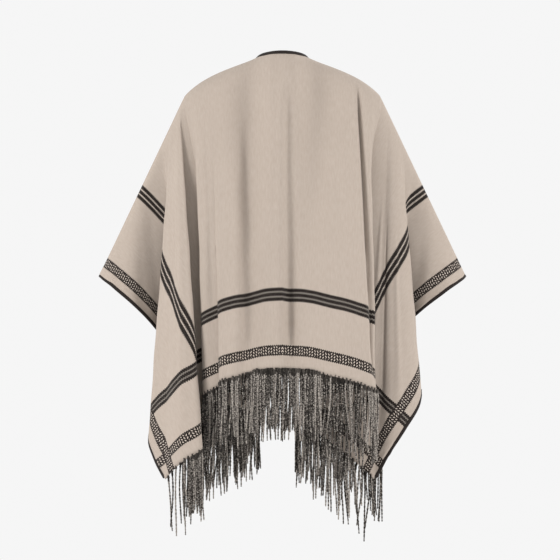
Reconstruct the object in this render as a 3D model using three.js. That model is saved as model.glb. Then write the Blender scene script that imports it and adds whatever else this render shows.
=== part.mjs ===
import * as THREE from 'three';

// A fringed wool wrap worn over the shoulders, empty inside. All sizes are in millimetres.
// The wearer faces +Y, so the back is at -Y, the wearer's right side is +X and +Z is up.
// The origin is the middle of the neck, level with the neck's side points.

// The cut of the cloth: one length over both shoulders, open down the middle of the front.
const HALF_WIDTH = 675;
const HALF_LENGTH = 724;
const NECK_HALF = 62;
const SHOULDER_REACH = 235;

// How the shoulders and arms carry it.
const SHOULDER_POINT = { out: 214, drop: 80 };
const SLEEVE_TIP = { out: 403, drop: 477 };
const SHOULDER_SWELL = 0.09;
const NECK_BACK = { depth: 48, rise: 18, fullness: 3, ease: 1.5 };
const SLOPE_AT_NECK = 0.72;
const SLOPE_AT_SHOULDER = 4;
const SHOULDER_FALL = 0.4;
const NAPE_TILT = 0.75;

// Cloth, bindings and fringe.
const CLOTH_WALL = 2.4;
const SHOULDER_SEAM = 0.45;
const SIDE_SEAM = 0.6;
const NECK_SEAM = 0.4;
const FRINGE_SEAM = 0.7;
const BINDING_WIDTH = 7.7;
const BINDING_WALL = 3.2;
const BACKING_HEIGHT = 4;
const BACKING_WALL = 3;
const STRAND_PITCH = 12.4;
const STRAND_WIDTH = 6.2;
const STRAND_LENGTH = 128;
const STRAND_TIP_SCALE = 0.7;
const STRAND_SPREAD = 0.618;
const STRAND_VARIES = 0.16;
const CORNER_GAP = 9.3;

// How far the cloth runs level over the shoulder before it hangs: a row for each place on the
// shoulder line, with its distance from the neck's middle along the cloth. On the short lines at
// the sleeve tip it is at most a share of the line.
const BEND_SHARE = 0.35;
const BEND_ROWS = [
  { along: 0, reach: 78 },
  { along: 62, reach: 37 },
  { along: 195, reach: 50 },
  { along: 235, reach: 36 },
  { along: 675, reach: 9 },
];

// Where on the shoulder line a fold line starts, for its place round the lower edge. `round` is
// the distance along the edge from the middle of the hem, past the corner and up the side.
const START_ROWS = [
  { round: 0, along: 0 },
  { round: 100, along: 98 },
  { round: 240, along: 200 },
  { round: 380, along: 236 },
  { round: 675, along: 262 },
  { round: 960, along: 330 },
  { round: 1200, along: 470 },
  { round: 1396, along: 664 },
];

// The folds, as rows round the lower edge: `out` is the distance from the middle of the body to
// the side, `depth` is the distance behind it or, in front, before it.
const BACK_LEFT_FOLDS = [
  { round: 0, out: 0, depth: 167 },
  { round: 20, out: 17, depth: 168 },
  { round: 42, out: 36, depth: 171 },
  { round: 62, out: 53, depth: 167 },
  { round: 84, out: 72, depth: 160 },
  { round: 126, out: 106, depth: 169 },
  { round: 156, out: 130, depth: 160 },
  { round: 170, out: 134, depth: 149 },
  { round: 184, out: 128, depth: 141 },
  { round: 206, out: 143, depth: 136 },
  { round: 230, out: 160, depth: 130 },
  { round: 246, out: 169, depth: 119 },
  { round: 260, out: 163, depth: 108 },
  { round: 308, out: 122, depth: 105 },
  { round: 350, out: 84, depth: 107 },
  { round: 364, out: 79, depth: 98 },
  { round: 378, out: 86, depth: 89 },
  { round: 430, out: 136, depth: 86 },
  { round: 476, out: 178, depth: 98 },
  { round: 502, out: 188, depth: 121 },
  { round: 528, out: 180, depth: 145 },
  { round: 546, out: 170, depth: 159 },
  { round: 562, out: 175, depth: 172 },
  { round: 596, out: 205, depth: 176 },
  { round: 628, out: 227, depth: 163 },
  { round: 675, out: 252, depth: 136 },
  { round: 728, out: 275, depth: 105 },
  { round: 785, out: 289, depth: 79 },
  { round: 812, out: 286, depth: 60 },
  { round: 873, out: 250, depth: 46 },
  { round: 952, out: 203, depth: 36 },
  { round: 974, out: 192, depth: 24 },
  { round: 996, out: 199, depth: 12 },
  { round: 1031, out: 220, depth: 8 },
  { round: 1115, out: 258, depth: 16 },
  { round: 1192, out: 292, depth: 36 },
  { round: 1262, out: 330, depth: 50 },
  { round: 1325, out: 368, depth: 44 },
  { round: 1372, out: 394, depth: 20 },
  { round: 1396, out: 403, depth: 3 },
];
const BACK_RIGHT_FOLDS = [
  { round: 0, out: 0, depth: 167 },
  { round: 20, out: 19, depth: 160 },
  { round: 42, out: 37, depth: 166 },
  { round: 62, out: 54, depth: 171 },
  { round: 94, out: 82, depth: 174 },
  { round: 146, out: 131, depth: 172 },
  { round: 188, out: 169, depth: 165 },
  { round: 216, out: 193, depth: 156 },
  { round: 232, out: 202, depth: 145 },
  { round: 248, out: 194, depth: 134 },
  { round: 308, out: 132, depth: 134 },
  { round: 388, out: 53, depth: 132 },
  { round: 412, out: 34, depth: 121 },
  { round: 426, out: 32, depth: 110 },
  { round: 440, out: 39, depth: 99 },
  { round: 522, out: 99, depth: 101 },
  { round: 610, out: 159, depth: 106 },
  { round: 675, out: 199, depth: 110 },
  { round: 737, out: 225, depth: 114 },
  { round: 811, out: 262, depth: 101 },
  { round: 891, out: 297, depth: 70 },
  { round: 921, out: 302, depth: 50 },
  { round: 961, out: 285, depth: 41 },
  { round: 1038, out: 240, depth: 34 },
  { round: 1073, out: 223, depth: 26 },
  { round: 1093, out: 218, depth: 15 },
  { round: 1115, out: 228, depth: 8 },
  { round: 1185, out: 276, depth: 20 },
  { round: 1248, out: 314, depth: 40 },
  { round: 1306, out: 354, depth: 46 },
  { round: 1352, out: 384, depth: 30 },
  { round: 1381, out: 399, depth: 11 },
  { round: 1396, out: 403, depth: 3 },
];
const FRONT_FOLDS = [
  { round: 62, out: 45, depth: 124 },
  { round: 96, out: 76, depth: 136 },
  { round: 138, out: 117, depth: 126 },
  { round: 172, out: 150, depth: 134 },
  { round: 196, out: 168, depth: 120 },
  { round: 216, out: 162, depth: 102 },
  { round: 290, out: 104, depth: 88 },
  { round: 346, out: 61, depth: 82 },
  { round: 366, out: 54, depth: 70 },
  { round: 388, out: 66, depth: 59 },
  { round: 470, out: 144, depth: 60 },
  { round: 514, out: 188, depth: 60 },
  { round: 540, out: 205, depth: 74 },
  { round: 566, out: 204, depth: 97 },
  { round: 588, out: 208, depth: 117 },
  { round: 612, out: 224, depth: 121 },
  { round: 640, out: 224, depth: 104 },
  { round: 675, out: 216, depth: 84 },
  { round: 700, out: 222, depth: 72 },
  { round: 724, out: 238, depth: 70 },
  { round: 760, out: 253, depth: 87 },
  { round: 800, out: 263, depth: 103 },
  { round: 840, out: 277, depth: 97 },
  { round: 872, out: 284, depth: 77 },
  { round: 898, out: 279, depth: 57 },
  { round: 930, out: 265, depth: 43 },
  { round: 1000, out: 230, depth: 34 },
  { round: 1060, out: 202, depth: 26 },
  { round: 1086, out: 200, depth: 16 },
  { round: 1116, out: 222, depth: 9 },
  { round: 1160, out: 256, depth: 14 },
  { round: 1205, out: 286, depth: 34 },
  { round: 1245, out: 306, depth: 64 },
  { round: 1290, out: 340, depth: 70 },
  { round: 1336, out: 374, depth: 44 },
  { round: 1376, out: 397, depth: 18 },
  { round: 1396, out: 403, depth: 3 },
];

// How finely the cloth is cut into faces.
const COLUMN_STEP = 32;
const NAPE_PLACES = [42, 20];
const DROP_SHARES = [0, 0.03, 0.07, 0.12, 0.19, 0.28, 0.42, 0.6, 0.8, 1];

const COLOURS = {
  cloth: 0xc7bbaf,
  binding: 0x231e1b,
  fringe: 0x57504a,
};

const lerp = (a, b, share) => a + (b - a) * share;

// A curve through a table's rows that bends only where the rows do.
function curveThrough(rows, key, value) {
  const at = rows.map((row) => row[key]);
  const level = rows.map((row) => row[value]);
  const slope = at.slice(1).map((next, i) => (level[i + 1] - level[i]) / (next - at[i]));
  const bend = at.map((_, i) => {
    if (i === 0) return slope[0];
    if (i === at.length - 1) return slope[i - 1];
    if (slope[i - 1] * slope[i] <= 0) return 0;
    return (2 * slope[i - 1] * slope[i]) / (slope[i - 1] + slope[i]);
  });
  return (place) => {
    let i = 0;
    while (i < at.length - 2 && place > at[i + 1]) i += 1;
    const gap = at[i + 1] - at[i];
    const t = (place - at[i]) / gap;
    const start = (1 + 2 * t) * (1 - t) ** 2 * level[i] + t * (1 - t) ** 2 * gap * bend[i];
    return start + t * t * (3 - 2 * t) * level[i + 1] + t * t * (t - 1) * gap * bend[i + 1];
  };
}

const bendReach = curveThrough(BEND_ROWS, 'along', 'reach');
const startAlong = curveThrough(START_ROWS, 'round', 'along');

const shoulderPoint = new THREE.Vector3(SHOULDER_POINT.out, 0, -SHOULDER_POINT.drop);
const sleeveTip = new THREE.Vector3(SLEEVE_TIP.out, 0, -SLEEVE_TIP.drop);
const sleeveWay = sleeveTip.clone().sub(shoulderPoint).normalize();
const shoulderWay = new THREE.Vector3(1, 0, -SHOULDER_FALL).normalize();

// How far the neck pushes a place up: 1 at the nape, and 0 beside the neck and in front.
function napeShare(along, face) {
  if (face > 0 || along > NECK_HALF) return 0;
  return 1 - (along / NECK_HALF) ** NECK_BACK.fullness;
}

// The line over the shoulder and down the arm; behind the neck it runs round the neck.
function shoulderLine(along, face) {
  if (along < NECK_HALF) {
    const behind = face < 0 ? (1 - (along / NECK_HALF) ** 2) ** NECK_BACK.ease : 0;
    const rise = NECK_BACK.rise * napeShare(along, face);
    return new THREE.Vector3(along, -NECK_BACK.depth * behind, rise);
  }
  if (along > SHOULDER_REACH) {
    return shoulderPoint.clone().addScaledVector(sleeveWay, along - SHOULDER_REACH);
  }
  const share = (along - NECK_HALF) / (SHOULDER_REACH - NECK_HALF);
  const out = lerp(NECK_HALF, SHOULDER_POINT.out, share * (1 + SHOULDER_SWELL * (1 - share)));
  const steep = (1 - SLOPE_AT_NECK) * share ** SLOPE_AT_SHOULDER;
  return new THREE.Vector3(out, 0, -SHOULDER_POINT.drop * (SLOPE_AT_NECK * share + steep));
}

// One hanging line of the cloth, from the shoulder line to its place round the lower edge.
// `face` is -1 behind and 1 in front.
function hangingLine(folds, face, round) {
  const edge = { along: Math.min(round, HALF_WIDTH), down: HALF_LENGTH };
  edge.down = Math.min(HALF_LENGTH, HALF_LENGTH + HALF_WIDTH - round);
  const along = startAlong(round);
  const start = shoulderLine(along, face);
  const length = Math.hypot(edge.along - along, edge.down);
  const swing = Math.atan2(edge.along - along, edge.down);
  const reach = Math.min(bendReach(along), BEND_SHARE * length);
  const level = new THREE.Vector3(0, face, -NAPE_TILT * napeShare(along, face)).normalize();
  const way = along > SHOULDER_REACH ? sleeveWay : shoulderWay;
  const leave = level.multiplyScalar(Math.cos(swing)).addScaledVector(way, Math.sin(swing));
  const knee = start.clone().addScaledVector(leave, reach);
  const out = folds.out(round);
  const depth = face * folds.depth(round);
  const spare = (length - reach) ** 2 - (out - knee.x) ** 2 - (depth - knee.y) ** 2;
  const end = new THREE.Vector3(out, depth, knee.z - Math.sqrt(Math.max(spare, 0)));
  const fall = end.sub(knee).divideScalar(length - reach);
  const point = (share) => {
    const run = length * share;
    const bent = reach * (1 - Math.exp(-run / reach));
    return start.clone().addScaledVector(leave, bent).addScaledVector(fall, run - bent);
  };
  return { round, along, edge, length, point, fall };
}

function panel(rows, face) {
  const folds = {
    out: curveThrough(rows, 'round', 'out'),
    depth: curveThrough(rows, 'round', 'depth'),
  };
  return { face, rows, line: (round) => hangingLine(folds, face, round) };
}

const backLeft = panel(BACK_LEFT_FOLDS, -1);
const backRight = panel(BACK_RIGHT_FOLDS, -1);
const front = panel(FRONT_FOLDS, 1);

// Places round the edge where the cloth is cut into columns: each row, the cloth's own corner
// beside the binding, and steps between.
function columnPlaces(part, step) {
  const corner = { round: HALF_WIDTH - BINDING_WIDTH - SIDE_SEAM };
  const rows = [...part.rows, corner].sort((a, b) => a.round - b.round);
  const places = [rows[0].round];
  for (let i = 1; i < rows.length; i += 1) {
    const gap = rows[i].round - rows[i - 1].round;
    const steps = Math.max(1, Math.round(gap / step));
    for (let s = 1; s <= steps; s += 1) places.push(rows[i - 1].round + (gap * s) / steps);
  }
  return places;
}

// How far down a hanging line the cloth itself runs: it stops short of the side binding.
function clothShare(line) {
  const limit = HALF_WIDTH - BINDING_WIDTH - SIDE_SEAM;
  if (line.edge.along <= limit) return 1;
  return Math.min(1, (limit - line.along) / (line.edge.along - line.along));
}

const mirrored = (point, side) => new THREE.Vector3(point.x * side, point.y, point.z);

// Columns of points of one panel, from the shoulder line down, on the given side.
function panelColumns(part, side) {
  return columnPlaces(part, COLUMN_STEP).map((round) => {
    const line = part.line(round);
    const share = clothShare(line);
    const top = SHOULDER_SEAM / line.length;
    return DROP_SHARES.map((drop) => mirrored(line.point(lerp(top, share, drop)), side));
  });
}

// The way the sheet faces at each grid point.
function gridNormals(grid) {
  const last = grid.length - 1;
  return grid.map((column, i) => column.map((_, j) => {
    const across = grid[Math.min(i + 1, last)][j].clone().sub(grid[Math.max(i - 1, 0)][j]);
    const end = column.length - 1;
    const down = column[Math.min(j + 1, end)].clone().sub(column[Math.max(j - 1, 0)]);
    return across.cross(down).normalize();
  }));
}

function meshOf(name, points, faces, colour) {
  const geometry = new THREE.BufferGeometry();
  const places = points.flatMap((point) => point.toArray());
  geometry.setAttribute('position', new THREE.Float32BufferAttribute(places, 3));
  geometry.setIndex(faces.flat());
  geometry.computeVertexNormals();
  const material = new THREE.MeshStandardMaterial({ color: colour, roughness: 0.95 });
  const mesh = new THREE.Mesh(geometry, material);
  mesh.name = name;
  return mesh;
}

const quad = (a, b, c, d) => [[a, b, c], [a, c, d]];

// A wall of even thickness on a grid of points, closed round its edges.
function wallOnGrid(name, grid, wall, colour) {
  const normals = gridNormals(grid);
  const columns = grid.length;
  const rows = grid[0].length;
  const shifted = (way) => grid.flatMap((column, i) => (
    column.map((point, j) => point.clone().addScaledVector(normals[i][j], (way * wall) / 2))
  ));
  const points = [...shifted(1), ...shifted(-1)];
  const upper = (i, j) => i * rows + j;
  const lower = (i, j) => columns * rows + upper(i, j);
  const faces = [];
  for (let i = 0; i < columns - 1; i += 1) {
    for (let j = 0; j < rows - 1; j += 1) {
      faces.push(...quad(upper(i, j), upper(i + 1, j), upper(i + 1, j + 1), upper(i, j + 1)));
      faces.push(...quad(lower(i, j), lower(i, j + 1), lower(i + 1, j + 1), lower(i + 1, j)));
    }
    faces.push(...quad(upper(i, 0), lower(i, 0), lower(i + 1, 0), upper(i + 1, 0)));
    const hem = rows - 1;
    faces.push(...quad(upper(i, hem), upper(i + 1, hem), lower(i + 1, hem), lower(i, hem)));
  }
  for (let j = 0; j < rows - 1; j += 1) {
    faces.push(...quad(upper(0, j), upper(0, j + 1), lower(0, j + 1), lower(0, j)));
    const end = columns - 1;
    faces.push(...quad(upper(end, j + 1), upper(end, j), lower(end, j), lower(end, j + 1)));
  }
  return meshOf(name, points, faces, colour);
}

function backPanel() {
  const left = panelColumns(backLeft, -1).reverse();
  const right = panelColumns(backRight, 1).slice(1);
  return wallOnGrid('back_panel', [...left, ...right], CLOTH_WALL, COLOURS.cloth);
}

function frontPanel(name, side) {
  const columns = panelColumns(front, side);
  return wallOnGrid(name, side > 0 ? columns.reverse() : columns, CLOTH_WALL, COLOURS.cloth);
}

// The black tape along a side edge: from the back corner over the sleeve tip to the front corner.
function sideBinding(name, rows, side) {
  const strip = (part) => {
    const places = columnPlaces(part, COLUMN_STEP).filter((round) => round >= HALF_WIDTH);
    return places.map((round) => {
      const line = part.line(round);
      const inner = (HALF_WIDTH - BINDING_WIDTH - line.along) / (line.edge.along - line.along);
      return [inner, 1].map((share) => mirrored(line.point(share), side));
    });
  };
  const grid = [...strip(rows), ...strip(front).reverse()];
  return wallOnGrid(name, grid, BINDING_WALL, COLOURS.binding);
}

// A point on an edge with the way the cloth faces there, from points close beside and below it.
function edgeStation(part, round, share, side) {
  const beside = 1;
  const below = 0.002;
  const line = part.line(round);
  const here = line.point(share);
  const across = part.line(round + beside).point(share).sub(here);
  const down = line.point(share + below).sub(here);
  const facing = across.cross(down).normalize().multiplyScalar(-part.face);
  return { point: mirrored(here, side), facing: mirrored(facing, side) };
}

// The tape up one front edge, round the back of the neck and down the other front edge.
function neckBinding() {
  const frontEdge = (side) => DROP_SHARES.map((drop) => edgeStation(front, NECK_HALF, drop, side));
  const nape = (part, side) => NAPE_PLACES.map((round) => edgeStation(part, round, 0, side));
  const stations = [
    ...frontEdge(-1).reverse(),
    ...nape(backLeft, -1),
    edgeStation(backRight, 0, 0, 1),
    ...nape(backRight, 1).reverse(),
    ...frontEdge(1),
  ];
  const last = stations.length - 1;
  const grid = stations.map(({ point, facing }, i) => {
    const onward = stations[Math.min(i + 1, last)].point.clone();
    const way = onward.sub(stations[Math.max(i - 1, 0)].point).normalize();
    const inward = way.cross(facing).normalize();
    const offsets = [NECK_SEAM + BINDING_WIDTH, NECK_SEAM];
    return offsets.map((offset) => point.clone().addScaledVector(inward, offset));
  });
  return wallOnGrid('neck_binding', grid, BINDING_WALL, COLOURS.binding);
}

// The backing strip below a hem with its strands grown out of the strip's lower side.
function fringe(name, ends) {
  const corner = (end, drop, way) => end.point.clone()
    .addScaledVector(end.fall, FRINGE_SEAM + drop)
    .addScaledVector(end.facing, (way * BACKING_WALL) / 2);
  const rings = ends.map((end) => [
    corner(end, 0, 1),
    corner(end, 0, -1),
    corner(end, BACKING_HEIGHT, -1),
    corner(end, BACKING_HEIGHT, 1),
  ]);
  const points = rings.flat();
  const at = (ring, side) => ring * 4 + (side % 4);
  const faces = [];
  for (let i = 0; i < rings.length - 1; i += 1) {
    for (const side of [0, 1, 3]) {
      faces.push(...quad(at(i, side), at(i, side + 1), at(i + 1, side + 1), at(i + 1, side)));
    }
    const root = [at(i, 2), at(i, 3), at(i + 1, 3), at(i + 1, 2)];
    if (i % 2 === 1) {
      faces.push(...quad(...root));
    } else {
      const spread = (i / 2) * STRAND_SPREAD;
      const length = STRAND_LENGTH * (1 + STRAND_VARIES * (spread - Math.floor(spread) - 0.5));
      const middle = root.reduce((sum, k) => sum.add(points[k]), new THREE.Vector3()).divideScalar(4);
      const tip = root.map((k) => {
        points.push(points[k].clone().sub(middle).multiplyScalar(STRAND_TIP_SCALE).add(middle));
        points[points.length - 1].z = middle.z - length;
        return points.length - 1;
      });
      root.forEach((k, c) => {
        const next = (c + 1) % 4;
        faces.push(...quad(k, root[next], tip[next], tip[c]));
      });
      faces.push(...quad(...tip));
    }
  }
  const end = rings.length - 1;
  faces.push(...quad(at(0, 3), at(0, 2), at(0, 1), at(0, 0)));
  faces.push(...quad(at(end, 0), at(end, 1), at(end, 2), at(end, 3)));
  return meshOf(name, points, faces, COLOURS.fringe);
}

// The hem's points, two for each strand, along the cloth's own lower edge.
function hemEnds(part, from, to, side) {
  const places = columnPlaces(part, COLUMN_STEP);
  const grid = panelColumns(part, side);
  const normals = gridNormals(grid);
  const last = DROP_SHARES.length - 1;
  const endAt = (round) => {
    const next = places.findIndex((place) => place > round);
    const share = (round - places[next - 1]) / (places[next] - places[next - 1]);
    const between = (pick) => pick(next - 1).clone().lerp(pick(next), share);
    return {
      point: between((i) => grid[i][last]),
      facing: between((i) => normals[i][last]).normalize().multiplyScalar(-part.face * side),
      fall: between((i) => grid[i][last].clone().sub(grid[i][last - 1]).normalize()).normalize(),
    };
  };
  const count = Math.floor((to - from) / STRAND_PITCH);
  const ends = [];
  for (let i = 0; i <= count; i += 1) {
    const start = from + i * STRAND_PITCH;
    ends.push(endAt(start), endAt(start + STRAND_WIDTH));
  }
  return ends;
}

const group = new THREE.Group();
group.name = 'fringed_wool_wrap';
group.add(backPanel());
group.add(frontPanel('front_panel_left', -1));
group.add(frontPanel('front_panel_right', 1));
group.add(sideBinding('side_binding_left', backLeft, -1));
group.add(sideBinding('side_binding_right', backRight, 1));
group.add(neckBinding());

const hemStop = HALF_WIDTH - BINDING_WIDTH - SIDE_SEAM - CORNER_GAP;
const backGap = (STRAND_PITCH - STRAND_WIDTH) / 2;
group.add(fringe('fringe_back', [
  ...hemEnds(backLeft, backGap, hemStop, -1).reverse(),
  ...hemEnds(backRight, backGap, hemStop, 1),
]));
group.add(fringe('fringe_front_left', hemEnds(front, NECK_HALF, hemStop, -1)));
group.add(fringe('fringe_front_right', hemEnds(front, NECK_HALF, hemStop, 1).reverse()));

export default group;
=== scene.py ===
# %% [markdown]
# # A fringed wool wrap, built over a measured frame
#
# The real thing is one length of brushed wool cloth with woven border bands, a dark tape sewn
# round its open edges and twisted fringe along both hems. It is worn open at the front, so here
# it keeps the shape of the shoulders and arms that carried it, with nothing inside.
#
# The frame gives each panel's place as a plain solid. This script lays a fine sheet, real tape
# and twisted yarn over those solids, then colours and lights them.

# %% Load the frame
import math

import bmesh
import bpy
import numpy as np
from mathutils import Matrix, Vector


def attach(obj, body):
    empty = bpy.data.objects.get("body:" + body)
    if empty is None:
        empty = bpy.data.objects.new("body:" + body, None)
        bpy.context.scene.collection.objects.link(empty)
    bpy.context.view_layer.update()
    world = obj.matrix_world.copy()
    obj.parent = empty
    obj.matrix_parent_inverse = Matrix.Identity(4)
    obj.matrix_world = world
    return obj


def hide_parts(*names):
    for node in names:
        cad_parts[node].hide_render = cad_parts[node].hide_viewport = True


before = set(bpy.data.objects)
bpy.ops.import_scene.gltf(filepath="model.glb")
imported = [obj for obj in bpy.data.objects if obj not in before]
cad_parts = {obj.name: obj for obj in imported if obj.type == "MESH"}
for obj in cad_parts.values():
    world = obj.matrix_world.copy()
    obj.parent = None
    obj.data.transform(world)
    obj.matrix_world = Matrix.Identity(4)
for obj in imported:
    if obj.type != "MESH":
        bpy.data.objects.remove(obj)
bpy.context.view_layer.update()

# %% [markdown]
# ## The cut and how it hangs
#
# Cloth can't stretch much, so a drape is easiest to describe on the flat cut. A place on the
# cloth is given by how far it lies along the shoulder line from the middle of the neck, and how
# far it lies down from that line. All the folds run in straight hanging lines from the shoulder
# to the lower edge, so a short table of where each fold meets that edge gives the whole form.
# The sizes are in metres, and the tables in millimetres because their rows are easier to read so.

# %% Sizes of the cut
MM = 0.001
HALF_WIDTH = 0.675
HALF_LENGTH = 0.724
NECK_HALF = 0.062
SHOULDER_REACH = 0.235
SHOULDER_POINT = np.array([0.214, 0.0, -0.080])
SLEEVE_TIP = np.array([0.403, 0.0, -0.477])
SHOULDER_SWELL = 0.09
NECK_BACK_DEPTH = 0.048
NECK_BACK_RISE = 0.018
NECK_BACK_FULLNESS = 3
NECK_BACK_EASE = 1.5
SLOPE_AT_NECK = 0.72
SLOPE_AT_SHOULDER = 4
NAPE_TILT = 0.75
NAPE_CUT = 0.0115
CORNER_EASE = 0.005
CLOTH_WALL = 0.0022
TAPE_WIDTH = 0.0077
print("the flat cut is", 2 * HALF_WIDTH, "m wide and", 2 * HALF_LENGTH, "m long")

# %% The bend over the shoulder and where each fold line starts
# Each row: the place along the shoulder line, and how far the cloth runs level before it hangs.
BEND_ROWS = [(0, 78), (31, 65), (62, 37), (195, 50), (235, 36), (675, 9)]

# Each row: the place round the lower edge from the middle of the hem, past the corner and up the
# side, and where on the shoulder line the fold line to that place starts.
START_ROWS = [
    (0, 0),
    (100, 98),
    (240, 200),
    (380, 236),
    (675, 262),
    (960, 330),
    (1200, 470),
    (1396, 664),
]

# %% The folds
# Each row: the place round the lower edge, how far out to the side it hangs, and how far behind
# the wearer's middle, or before it on the front panels.
BACK_LEFT_FOLDS = [
    (0, 0, 167),
    (20, 17, 168),
    (42, 36, 171),
    (62, 53, 167),
    (84, 72, 160),
    (126, 106, 169),
    (156, 130, 160),
    (170, 134, 149),
    (184, 128, 141),
    (206, 143, 136),
    (230, 160, 130),
    (246, 169, 119),
    (260, 163, 108),
    (308, 122, 105),
    (350, 84, 107),
    (364, 79, 98),
    (378, 86, 89),
    (430, 136, 86),
    (476, 178, 98),
    (502, 188, 121),
    (528, 180, 145),
    (546, 170, 159),
    (562, 175, 172),
    (596, 205, 176),
    (628, 227, 163),
    (675, 252, 136),
    (728, 275, 105),
    (785, 289, 79),
    (812, 286, 60),
    (873, 250, 46),
    (952, 203, 36),
    (974, 192, 24),
    (996, 199, 12),
    (1031, 220, 8),
    (1115, 258, 16),
    (1192, 292, 36),
    (1262, 330, 50),
    (1325, 368, 44),
    (1372, 394, 20),
    (1396, 403, 3),
]
BACK_RIGHT_FOLDS = [
    (0, 0, 167),
    (20, 19, 160),
    (42, 37, 166),
    (62, 54, 171),
    (94, 82, 174),
    (146, 131, 172),
    (188, 169, 165),
    (216, 193, 156),
    (232, 202, 145),
    (248, 194, 134),
    (308, 132, 134),
    (388, 53, 132),
    (412, 34, 121),
    (426, 32, 110),
    (440, 39, 99),
    (522, 99, 101),
    (610, 159, 106),
    (675, 199, 110),
    (737, 225, 114),
    (811, 262, 101),
    (891, 297, 70),
    (921, 302, 50),
    (961, 285, 41),
    (1038, 240, 34),
    (1073, 223, 26),
    (1093, 218, 15),
    (1115, 228, 8),
    (1185, 276, 20),
    (1248, 314, 40),
    (1306, 354, 46),
    (1352, 384, 30),
    (1381, 399, 11),
    (1396, 403, 3),
]
FRONT_FOLDS = [
    (62, 45, 124),
    (96, 76, 136),
    (138, 117, 126),
    (172, 150, 134),
    (196, 168, 120),
    (216, 162, 102),
    (290, 104, 88),
    (346, 61, 82),
    (366, 54, 70),
    (388, 66, 59),
    (470, 144, 60),
    (514, 188, 60),
    (540, 205, 74),
    (566, 204, 97),
    (588, 208, 117),
    (612, 224, 121),
    (640, 224, 104),
    (675, 216, 84),
    (700, 222, 72),
    (724, 238, 70),
    (760, 253, 87),
    (800, 263, 103),
    (840, 277, 97),
    (872, 284, 77),
    (898, 279, 57),
    (930, 265, 43),
    (1000, 230, 34),
    (1060, 202, 26),
    (1086, 200, 16),
    (1116, 222, 9),
    (1160, 256, 14),
    (1205, 286, 34),
    (1245, 306, 64),
    (1290, 340, 70),
    (1336, 374, 44),
    (1376, 397, 18),
    (1396, 403, 3),
]
print(len(BACK_LEFT_FOLDS), "fold rows behind on the left,", len(BACK_RIGHT_FOLDS), "on the right")


# %% A smooth curve through a table's rows
def curve_through(rows, column, place):
    """The value of one column of a table at each place, bending only where the rows do."""
    at = np.array([row[0] for row in rows], float) * MM
    level = np.array([row[column] for row in rows], float) * MM
    gap = np.diff(at)
    slope = np.diff(level) / gap
    product = slope[:-1] * slope[1:]
    total = slope[:-1] + slope[1:]
    safe = np.where(product > 0, total, 1.0)
    inner = np.where(product > 0, 2 * product / safe, 0.0)
    bend = np.concatenate([slope[:1], inner, slope[-1:]])
    i = np.clip(np.searchsorted(at, place, side="left") - 1, 0, len(gap) - 1)
    t = (place - at[i]) / gap[i]
    rise = (1 + 2 * t) * (1 - t) ** 2 * level[i] + t * (1 - t) ** 2 * gap[i] * bend[i]
    return rise + t * t * (3 - 2 * t) * level[i + 1] + t * t * (t - 1) * gap[i] * bend[i + 1]


def unit(vectors):
    """Each vector cut to a length of one."""
    length = np.linalg.norm(vectors, axis=-1, keepdims=True)
    return vectors / np.maximum(length, 1e-9)


# %% The line over the shoulder
SLEEVE_WAY = unit(SLEEVE_TIP - SHOULDER_POINT)
SHOULDER_WAY = unit(np.array([1.0, 0.0, -0.4]))


def nape_share(along, face):
    """1 at the nape, falling to 0 beside the neck, and 0 all over the front."""
    if face > 0:
        return np.zeros_like(along)
    return np.maximum(0, 1 - (along / NECK_HALF) ** NECK_BACK_FULLNESS)


def shoulder_path(along, face):
    """The points of the line over the neck side, the shoulder and the arm, with its corners."""
    share = np.clip((along - NECK_HALF) / (SHOULDER_REACH - NECK_HALF), 0, 1)
    out = NECK_HALF + (SHOULDER_POINT[0] - NECK_HALF) * share * (1 + SHOULDER_SWELL * (1 - share))
    drop = SLOPE_AT_NECK * share + (1 - SLOPE_AT_NECK) * share**SLOPE_AT_SHOULDER
    points = np.stack([out, np.zeros_like(out), SHOULDER_POINT[2] * drop], -1)
    neck = along < NECK_HALF
    rise = NECK_BACK_RISE * nape_share(along, face)
    behind = np.maximum(0, 1 - (along / NECK_HALF) ** 2) ** NECK_BACK_EASE if face < 0 else 0 * along
    nape = np.stack([along, -NECK_BACK_DEPTH * behind, rise], -1)
    arm = SHOULDER_POINT + (along - SHOULDER_REACH)[..., None] * SLEEVE_WAY
    points = np.where(neck[..., None], nape, points)
    return np.where((along > SHOULDER_REACH)[..., None], arm, points)


def shoulder_line(along, face):
    """The same line with its corners rounded over a couple of centimetres."""
    total = 0
    for steps, weight in ((-2, 1), (-1, 2), (0, 3), (1, 2), (2, 1)):
        total = total + weight / 9 * shoulder_path(np.abs(along + steps * CORNER_EASE), face)
    return total


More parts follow.
